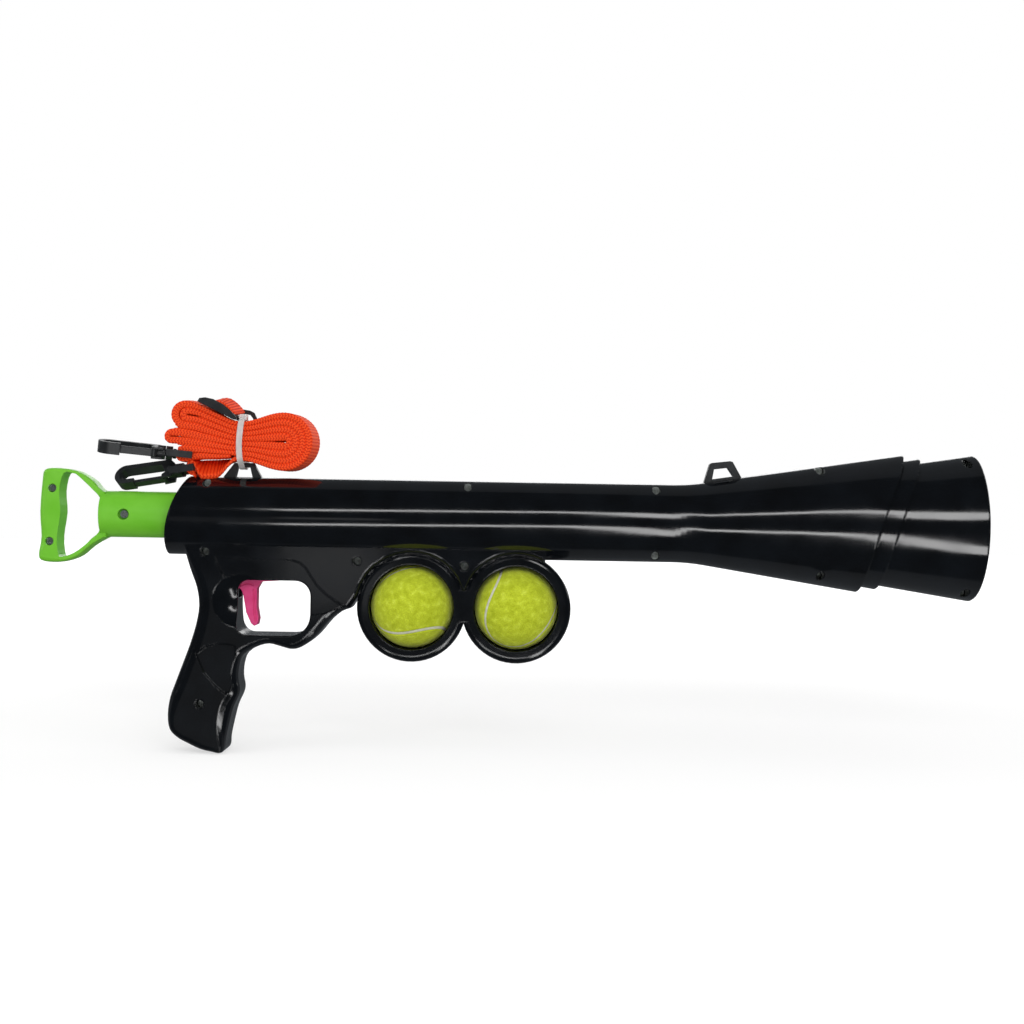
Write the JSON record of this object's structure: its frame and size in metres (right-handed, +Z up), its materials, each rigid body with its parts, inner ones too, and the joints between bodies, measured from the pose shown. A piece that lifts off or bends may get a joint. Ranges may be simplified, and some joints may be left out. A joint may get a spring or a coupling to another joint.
{
  "type": "dog tennis ball launcher",
  "caption": "Hand-pumped launcher that shoots tennis balls for a dog: flared barrel, pistol grip, spare ball holder, pump handle, trigger and a carry strap in a hank.",
  "frame": {"origin": "Palm centre of the pistol grip, on the parting plane of the shells", "axes": "+X along the barrel to the mouth, +Y to the left of a person who aims it, +Z up"},
  "size_m": [0.7094, 0.1114, 0.2688],
  "materials": {
    "shell_black": "gloss",
    "handle_green": "satin",
    "trigger_pink": "satin",
    "hardware_black": "matte",
    "steel": "satin",
    "rod_white": "satin",
    "piston_grey": "satin",
    "bumper_rubber": "matte",
    "ball_rubber": "matte",
    "ball_felt": "matte",
    "strap_orange": "matte",
    "tie_nylon": "satin"
  },
  "bodies": {
    "body": {"right_shell": "shell_black", "left_shell": "shell_black", "shell_screws": "steel", "front_sling_loop": "hardware_black", "rear_sling_loop": "hardware_black", "main_spring": "steel", "spring_washer": "steel", "trigger_pin": "steel", "sear_pin": "steel", "sear_spring": "steel", "strap_webbing": "strap_orange", "cable_tie": "tie_nylon", "strap_adjuster": "hardware_black", "strap_end_loop": "strap_orange", "upper_hook_eye": "hardware_black", "lower_hook_eye": "hardware_black"},
    "pump": {"handle_right_half": "handle_green", "handle_left_half": "handle_green", "handle_screws": "steel", "plunger_rod": "rod_white", "piston_head": "piston_grey", "bumper_pad": "bumper_rubber"},
    "trigger": {"trigger": "trigger_pink"},
    "sear": {"sear": "steel"},
    "rear_ball": {"rear_ball_core": "ball_rubber", "rear_ball_felt": "ball_felt"},
    "front_ball": {"front_ball_core": "ball_rubber", "front_ball_felt": "ball_felt"},
    "upper_hook": {"upper_hook_body": "hardware_black"},
    "upper_gate": {"upper_hook_gate": "hardware_black"},
    "lower_hook": {"lower_hook_body": "hardware_black"},
    "lower_gate": {"lower_hook_gate": "hardware_black"}
  },
  "joints": [
    {"name": "pump_slide", "type": "slide", "parent": "body", "child": "pump", "axis": [-1, 0, 0], "range_m": [0, 0.11], "stiffness_N_per_m": 250, "springref_m": -0.05, "deforming": ["main_spring"]},
    {"name": "trigger_pull", "type": "hinge", "parent": "body", "child": "trigger", "pos_m": [0.047, 0, 0.082], "axis": [0, 1, 0], "range_deg": [0, 10], "stiffness_Nm_per_rad": 0.08},
    {"name": "sear_tilt", "type": "hinge", "parent": "body", "child": "sear", "pos_m": [0.041, 0, 0.092], "axis": [0, 1, 0], "range_deg": [0, 15], "deforming": ["sear_spring"]},
    {"name": "rear_ball_out", "type": "slide", "parent": "body", "child": "rear_ball", "axis": [0, -1, 0], "range_m": [0, 0.06]},
    {"name": "front_ball_out", "type": "slide", "parent": "body", "child": "front_ball", "axis": [0, -1, 0], "range_m": [0, 0.06]},
    {"name": "upper_hook_swivel", "type": "hinge", "parent": "body", "child": "upper_hook", "pos_m": [-0.02, 0, 0.172], "axis": [-0.9744, -0.2071, 0.0872], "continuous": true},
    {"name": "upper_gate_press", "type": "hinge", "parent": "upper_hook", "child": "upper_gate", "pos_m": [-0.04217, -0.01116, 0.17298], "axis": [-0.1201, 0.152, -0.9811], "range_deg": [0, 20], "stiffness_Nm_per_rad": 0.02},
    {"name": "lower_hook_swivel", "type": "hinge", "parent": "body", "child": "lower_hook", "pos_m": [-0.012, 0, 0.162], "axis": [-0.9686, 0.2059, -0.1392], "continuous": true},
    {"name": "lower_gate_press", "type": "hinge", "parent": "lower_hook", "child": "lower_gate", "pos_m": [-0.0353, 0.0012, 0.15347], "axis": [0.2484, 0.7847, -0.568], "range_deg": [0, 20], "stiffness_Nm_per_rad": 0.02}
  ],
  "couplings": [
    {"joint": "sear_tilt", "follows": "trigger_pull", "ratio": 1.5}
  ]
}
